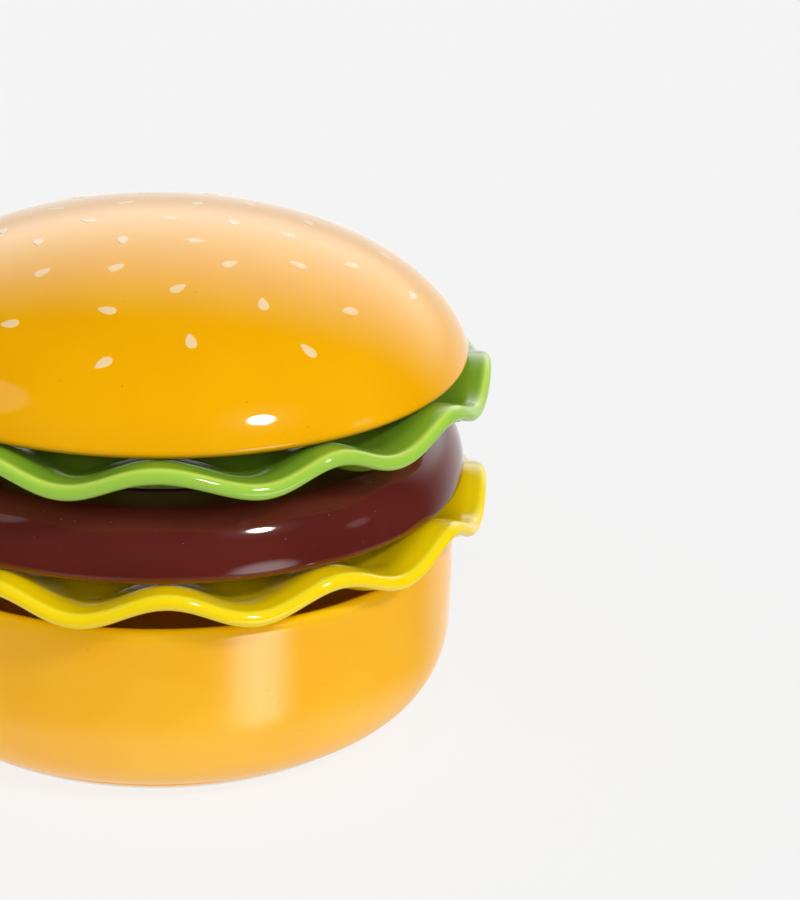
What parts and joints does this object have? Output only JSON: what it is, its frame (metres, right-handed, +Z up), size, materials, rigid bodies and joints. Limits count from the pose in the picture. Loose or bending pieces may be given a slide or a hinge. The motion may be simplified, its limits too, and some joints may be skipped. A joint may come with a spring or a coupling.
{
  "type": "stacking tableware set",
  "caption": "Hamburger-shaped stacking tableware: two bun bowls, a patty dish and two wavy plates in glazed ceramic, each lifting straight off the one below.",
  "frame": {"origin": "middle of the bottom bowl's foot, on the surface that it stands on", "axes": "+Z up through the middle of every dish, which is the way they lift off, and -Y the side shown first"},
  "size_m": [0.1776, 0.1776, 0.1359],
  "materials": {
    "bottom_bun_glaze": "gloss glaze, golden yellow, unglazed foot",
    "cheese_glaze": "gloss glaze, bright yellow",
    "patty_glaze": "gloss glaze, maroon brown, breaking to orange brown at the lip",
    "lettuce_glaze": "gloss glaze, leaf green",
    "top_bun_glaze": "gloss glaze, golden orange",
    "seed_enamel": "fired-on cream enamel"
  },
  "bodies": {
    "bottom_bun": {"bottom_bun_bowl": "bottom_bun_glaze"},
    "cheese": {"cheese_plate": "cheese_glaze"},
    "patty": {"patty_dish": "patty_glaze"},
    "lettuce": {"lettuce_plate": "lettuce_glaze"},
    "top_bun": {"top_bun_bowl": "top_bun_glaze", "sesame_seeds": "seed_enamel"}
  },
  "joints": [
    {"name": "cheese_lift", "type": "slide", "parent": "bottom_bun", "child": "cheese", "axis": [0, 0, 1], "range_m": [0, 0.05]},
    {"name": "patty_lift", "type": "slide", "parent": "cheese", "child": "patty", "axis": [0, 0, 1], "range_m": [0, 0.05]},
    {"name": "lettuce_lift", "type": "slide", "parent": "patty", "child": "lettuce", "axis": [0, 0, 1], "range_m": [0, 0.05]},
    {"name": "top_bun_lift", "type": "slide", "parent": "lettuce", "child": "top_bun", "axis": [0, 0, 1], "range_m": [0, 0.07]}
  ]
}
